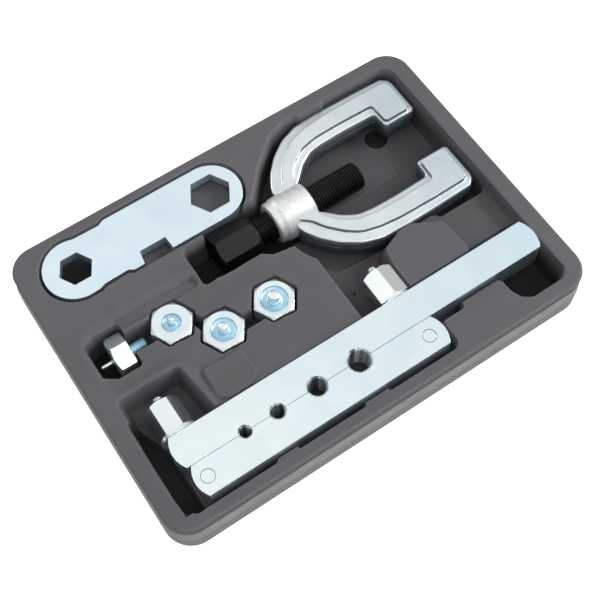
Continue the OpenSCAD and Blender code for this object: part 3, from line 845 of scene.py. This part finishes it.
def build_adapter(node, body, cup, pilot, place, reach=4.0):
    """Head on z = 0, shank below: a hexagon with a round chamfered face, a dished cup of radius cup round
    a pin of radius pilot that stands reach above the face, and a threaded shank."""
    thick = 8.5
    stations = [(0.0, 2.4), (0.0, 9.6), *hex_stations(18.0, thick, 0.0, (9.9, 0.5), (8.75, 1.35))]
    face = [(thick, 8.3), (thick, cup + 0.3), (thick - 0.08, cup + 0.08), (thick - 0.35, cup - 0.08)]
    bowl = []
    for k in range(1, 15):
        g = math.radians(90 * k / 14)
        bowl.append((thick - 0.35 - 1.05 * math.sin(g),
                     cup - 0.08 - (cup - 0.08 - pilot - 0.45) * (1 - math.cos(g))))
    tip = thick + reach
    collar = thick + 0.7
    pin = [(thick - 1.5, pilot + 0.3), (thick - 1.35, pilot), (collar - 0.2, pilot), (collar, pilot * 0.92),
           (collar + 0.15, pilot * 0.80), (tip - 0.8, pilot * 0.77), (tip - 0.35, pilot * 0.70),
           (tip - 0.08, pilot * 0.52), (tip, pilot * 0.34)]
    # shank, coned and closed at its lower end
    sv, sf, n, rows = thread(-SHANK, 0.3, 3.0, 1.0, 0.5, 40)
    r = np.hypot(sv[:, 0], sv[:, 1])
    limit = 2.3 + np.clip(sv[:, 2] + SHANK, 0, 9)
    sv[:, :2] *= (np.minimum(r, limit) / r)[:, None]
    sv = np.concatenate([sv, [[0, 0, -SHANK]]])
    for k in range(n):
        sf.append((len(sv) - 1, (k + 1) % n, k))
    v, f = merge(capped(stations + face + bowl + pin, 180), (sv, sf))
    v = turned(v, place)
    made = make_object(node + "_body", v, f, ZINC_TURNED, body, 24, [node])
    # the concave seat and the shank keep a bluer passivation than the worn faces
    made.data.materials.append(ZINC_BLUE)
    axis, centre = np.array(place)[:3, 2], np.array(place)[:3, 3]
    for face in made.data.polygons:
        at = np.array(face.center) / MM - centre
        height = float(at @ axis)
        out = float(np.linalg.norm(at - height * axis))
        seat = thick - 1.9 < height < thick - 0.05 and pilot + 0.2 < out < cup + 0.1
        foot = thick - 1.9 < height < collar + 0.1 and out < pilot + 0.2
        if seat or foot or height < -0.3:
            face.material_index = 1


# ---------------------------------------------------------------- die bars


def bar_outline(x0, x1, y0, y1, seam, inset, flare):
    """Plan outline of one bar: bulged ends, half holes on the seam side, all edges moved in by inset and
    the half holes opened by flare. With no flare the holes' walls are fluted by the reamer."""
    steps, around = 16, 24
    half = (y1 - y0) / 2
    bulge = 2.4
    r = (half * half + bulge * bulge) / (2 * bulge)
    cy = (y0 + y1) / 2
    inner = 1 if seam == y0 else -1
    points = []
    line = seam + inner * inset
    for hx, radius in TUBE_HOLES:
        rn = radius + (flare or 0)
        flute = 0.22 if flare is None else 0
        lean = math.asin(inset / rn)
        for k in range(around + 1):
            g = math.pi - lean - (math.pi - 2 * lean) * k / around
            rk = rn + flute * (k % 2)
            points.append((hx + rk * math.cos(g), seam + inner * rk * math.sin(g)))
    far = y1 - inset if inner > 0 else y0 + inset
    for k in range(steps + 1):
        y = line + (far - line) * k / steps
        points.append((x1 - r + math.sqrt((r - inset) ** 2 - (y - cy) ** 2), y))
    for k in range(steps + 1):
        y = far + (line - far) * k / steps
        points.append((x0 + r - math.sqrt((r - inset) ** 2 - (y - cy) ** 2), y))
    return np.array(points)


def ring(x, y, radius, count=48):
    g = np.arange(count) * 2 * math.pi / count
    return np.stack([x + radius * np.cos(g), y + radius * np.sin(g)], 1)


def plate(levels, holes=()):
    """Closed plate from levels of (z, outline), each outline with as many points, top level last.
    holes are lists of (z, outline) levels for walls through it, with the same first and last z."""
    verts, faces = [], []

    def wall(stack):
        """Adds a wall and returns the numbers of its bottom and top points."""
        first = len(verts)
        n = len(stack[0][1])
        for z, outline in stack:
            verts.extend((x, y, z) for x, y in outline)
        faces.extend(tube_faces(n, len(stack), first))
        return range(first, first + n), range(len(verts) - n, len(verts))

    bottoms, tops = zip(*[wall(stack) for stack in [levels, *holes]])
    for loops in (bottoms, tops):
        flat = [i for loop in loops for i in loop]
        shapes = [[Vector((verts[i][0], verts[i][1], 0)) for i in loop] for loop in loops]
        for tri in tessellate_polygon(shapes):
            faces.append(tuple(flat[t] for t in tri))
    return verts, faces


def build_bar(node, body, seam_side, pins=()):
    """seam_side is 0 where the bar is split off on its low Y side, 1 on its high one.
    pins are (x, y, radius) of holes for the studs' pins."""
    low, high = span(node)
    seam = (low, high)[seam_side][1]
    z0, z1 = low[2], high[2]
    c = 0.2  # chamfer

    def level(z, inset, flare):
        return z, bar_outline(low[0], high[0], low[1], high[1], seam, inset, flare)

    levels = [level(z0, c, 0.5), level(z0 + 0.5, 0.05, 0.0), level(z0 + 0.8, 0.05, None),
              level(z1 - 1.1, 0.05, None), level(z1 - 0.75, 0.05, 0.02), level(z1 - c, 0.05, 0.55),
              level(z1, c, 0.75)]
    # the pins' holes, with a fine open ring round each pin at the top
    holes = []
    groove = z1 - 1.2
    for x, y, radius in pins:
        gap = radius + 0.16
        holes.append([(z0, ring(x, y, radius)), (groove, ring(x, y, radius)), (groove, ring(x, y, gap)),
                      (z1, ring(x, y, gap))])
    v, f = plate(levels, holes)
    made = make_object(node + "_plate", v, f, ZINC_BAR, body, 25, [node])
    made.data.materials.append(ZINC_BORE)
    for face in made.data.polygons:
        at = face.center / MM
        near = min(math.hypot(at.x - hx, at.y - seam) - radius for hx, radius in TUBE_HOLES)
        if near < 0.8 and abs(face.normal.z) < 0.9:
            face.material_index = 1


def build_pin(node, body):
    """Pin that holds a stud in the short bar."""
    low, high = span(node)
    r = (high[0] - low[0]) / 2
    x, y = (low[:2] + high[:2]) / 2
    h = high[2] - low[2]
    v, f = capped([(0, r - 0.3), (0.3, r), (h - 0.14, r), (h, r - 0.12), (h, r - 0.5)], 64)
    v = turned(v, Matrix.Translation((x, y, low[2])))
    make_object(node + "_peg", v, f, ZINC_BAR, body, 30, [node])


# ---------------------------------------------------------------- yoke


def arm_outline(e, side, shelf=0.0):
    """One arm from the hub to the hook, grown by e. shelf draws the outline back in, fully on the outer
    side of the bend and less on its inner side and at the hook."""
    o = e - shelf
    i = e - 0.4 * shelf
    h = e - 0.3 * shelf
    pts = [(13, 8 + o / 2, 12), (17.2 - o, 13 + o / 2, 14), (21.2 - o, 19.6 + o / 2, 14),
           (27.4 - o, 26.4 + o / 2, 14), (35 - o / 2, 31.8 + 0.8 * o, 14),
           (44 - o / 3, 34.5 + o, 14), (55, 35 + e - 0.7 * shelf, 20), (74, 34.8 + e - 0.45 * shelf, 20),
           (91.6 + h / 2, 34.2 + h, 1.6 + e / 3), (94.2 + 0.8 * h, 32.8 + h / 2, 1.6 + e / 3),
           (94.9 + 0.8 * h, 30 + h / 2, 1.6 + e / 3), (94.8 + 0.8 * h, 14.9 - e / 2, 1.2),
           (93.4 + 0.8 * h, 13.7 - e / 2, 1.2), (81.2 - e / 3, 13.7 - e / 2, 1.2),
           (80.2 - e / 3, 14.9 - e / 2, 1.2),
           (79.8 - e / 3, 22.8 - i, 1.2), (78.6 - e / 3, 23.8 - i, 1.2), (60, 24.2 - i, 14),
           (47.5 + i / 3, 23.9 - i, 14), (39 + 0.6 * i, 22.4 - 0.8 * i, 14),
           (31.5 + i, 17.6 - i / 2, 14), (26.4 + i / 2, 11.4 - i / 2, 8), (24.5, 8, 2)]
    pts = [(px, AXIS_Y + side * py, pr) for px, py, pr in pts]
    return soft(pts, 5.0, 6)


def build_yoke():
    """Two mirrored arms with hooks, and the hub that the screw runs through."""
    # half of the arm's section: (height over the parting line, outline offset), with a shelf round the pad
    shelf_z, shelf = 5.5, 2.3
    section = [(0.0, 2.95), (0.2, 2.8), (2.6, 2.8), (4.2, 2.75), (4.9, 2.6), (5.25, 2.3), (5.42, 1.8),
               (5.49, 1.3), (5.5, 0.3), (5.62, 0.0), (5.9, -0.2), (6.3, -0.32), (7.2, -0.36),
               (7.42, -0.48), (7.5, -0.7), (7.5, -0.95)]
    section = [(-z, e) for z, e in section[:0:-1]] + section
    arms = []
    for side in (1, -1):
        arms.append(plate([(AXIS_Z + z, arm_outline(e, side, shelf if abs(z) >= shelf_z else 0.0))
                           for z, e in section]))
    v, f = merge(*arms)
    make_object("yoke_arms", v, f, FORGED, "yoke_frame", 36, ["yoke"])
    # hub: turned barrel, a little narrower at its outer end, with a through bore
    hub_x = 5.6
    profile = [(0, 7.1), (0, 9.0), (0.2, 9.7), (0.6, 10.05), (1.2, 10.2), (3.0, 10.3), (3.6, 10.5),
               (4.4, 10.85), (5.4, 11.0), (12, 11.0), (19.2, 11.0), (20.1, 10.85), (20.6, 10.4),
               (20.9, 9.7), (20.9, 7.1)]
    v, f, n, rows = spun(profile, 96)
    close_bore(f, n, rows)
    v = turned(v, along_x(hub_x, AXIS_Y, AXIS_Z))
    make_object("yoke_hub", v, f, HUB, "yoke_frame", 30)


# ---------------------------------------------------------------- assemble

build_tray()
build_screw()
build_yoke()
build_nut("clamp_nut_left", "nut_left", -7)
build_nut("clamp_nut_right", "nut_right", 27)
build_stud("stud_left", "die_base", "clamp_nut_left")
build_stud("stud_right", "die_base", "clamp_nut_right")
build_bar("die_bar_long", "die_front", 0)
pegs = []
for side in ("left", "right"):
    build_pin("stud_pin_" + side, "die_base")
    low, high = span("stud_pin_" + side)
    pegs.append((*((low[:2] + high[:2]) / 2), (high[0] - low[0]) / 2 + 0.03))
build_bar("die_bar_short", "die_base", 1, pegs)
for node, body, cup, pilot in (("adapter_6", "cone_6", 4.4, 1.9), ("adapter_8", "cone_8", 5.8, 2.6),
                               ("adapter_10", "cone_10", 6.4, 3.4)):
    low, high = span(node)
    cx, cy = (low[:2] + high[:2]) / 2
    spot = Matrix.Translation((cx, cy, low[2] + SHANK))
    build_adapter(node, body, cup, pilot, spot @ Matrix.Rotation(math.radians(ADAPTER_TURN), 4, "Z"))
# the smallest lies on its side, its pin towards -X
lay = Matrix.Translation((-81, 10.9, 13.7)) @ Matrix.Rotation(math.radians(-90), 4, "Y")
build_adapter("adapter_4_75", "cone_4_75", 3.6, 1.25, lay @ Matrix.Rotation(math.radians(5), 4, "Z"), 6.0)

# the CAD's own pieces that nothing replaces
for name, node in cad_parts.items():
    if not node.hide_render:
        node.data.materials.clear()
        node.data.materials.append({"wrench": ZINC, "snap_ring": BLACK}.get(name, ZINC_TURNED))

# ---------------------------------------------------------------- floor, light, camera


def studio():
    """Pale floor, soft lights and a world that brightens upwards."""
    floor_mesh = bpy.data.meshes.new("floor")
    s = 3.0  # half its side, in metres
    floor_mesh.from_pydata([(-s, -s, 0), (s, -s, 0), (s, s, 0), (-s, s, 0)], [], [(0, 1, 2, 3)])
    floor = bpy.data.objects.new("floor", floor_mesh)
    floor.location.z = -0.0002  # just clear of the case
    bpy.context.scene.collection.objects.link(floor)
    p = Paint("floor_paper")
    p.set(Base_Color=p.ramp(p.noise(2, 2), [(0.3, (0.93, 0.93, 0.93)), (0.7, (0.95, 0.95, 0.95))]),
          Roughness=0.9, Specular_IOR_Level=0.1, Emission_Color=(1.0, 1.0, 1.0), Emission_Strength=0.6)
    floor_mesh.materials.append(p.mat)
    floor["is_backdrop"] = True

    def area(name, place, size, power):
        data = bpy.data.lights.new(name, "AREA")
        data.shape = "RECTANGLE"
        data.size, data.size_y = size
        data.energy = power
        lamp = bpy.data.objects.new(name, data)
        lamp.location = place
        lamp.rotation_euler = (-Vector(place)).to_track_quat("-Z", "Y").to_euler()
        bpy.context.scene.collection.objects.link(lamp)
        return lamp

    area("key", (1.9, -0.45, 1.3), (0.9, 0.7), 31)
    area("left_card", (-1.5, 0.76, 1.2), (1.4, 0.9), 1.7)
    area("right_card", (1.55, 0.67, 0.62), (1.2, 0.6), 0.8)
    area("back", (-0.7, 2.1, 1.2), (1.0, 0.6), 10)
    area("front_high", (0.1, -1.36, 1.9), (1.1, 0.5), 5)
    # lights the case only: its own reflection would whiten every face of the metal that looks forward
    area("front_low", (0.2, -2.4, 0.6), (3.0, 0.7), 32).visible_glossy = False
    world = bpy.data.worlds.new("studio")
    bpy.context.scene.world = world
    world.use_nodes = True
    tree = world.node_tree
    coords = tree.nodes.new("ShaderNodeTexCoord")
    split = tree.nodes.new("ShaderNodeSeparateXYZ")
    ramp = tree.nodes.new("ShaderNodeValToRGB")
    ramp.color_ramp.elements.new(0.4)
    for element, (at, level) in zip(ramp.color_ramp.elements, ((0.0, 0.06), (0.4, 0.22), (0.82, 1.0))):
        element.position = at
        element.color = (level, level, level, 1)
    tree.links.new(coords.outputs["Generated"], split.inputs["Vector"])
    tree.links.new(split.outputs["Z"], ramp.inputs["Fac"])
    tree.links.new(ramp.outputs["Color"], tree.nodes["Background"].inputs["Color"])
    tree.nodes["Background"].inputs["Strength"].default_value = 0.92
    bpy.context.scene.view_settings.view_transform = "Standard"


def camera():
    data = bpy.data.cameras.new("camera")
    data.sensor_width = 36
    data.lens = 66.1
    data.clip_start = 0.01
    cam = bpy.data.objects.new("camera", data)
    right = Vector((0.83262, -0.55369, -0.01322))
    up = Vector((0.50183, 0.74410, 0.44101))
    back = right.cross(up)
    turn = Matrix((right, up, back)).transposed()
    cam.matrix_world = Matrix.Translation((-0.12105, -0.19525, (BAR_TOP + 430) * MM)) @ turn.to_4x4()
    bpy.context.scene.collection.objects.link(cam)
    bpy.context.scene.camera = cam


studio()
camera()
low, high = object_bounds()
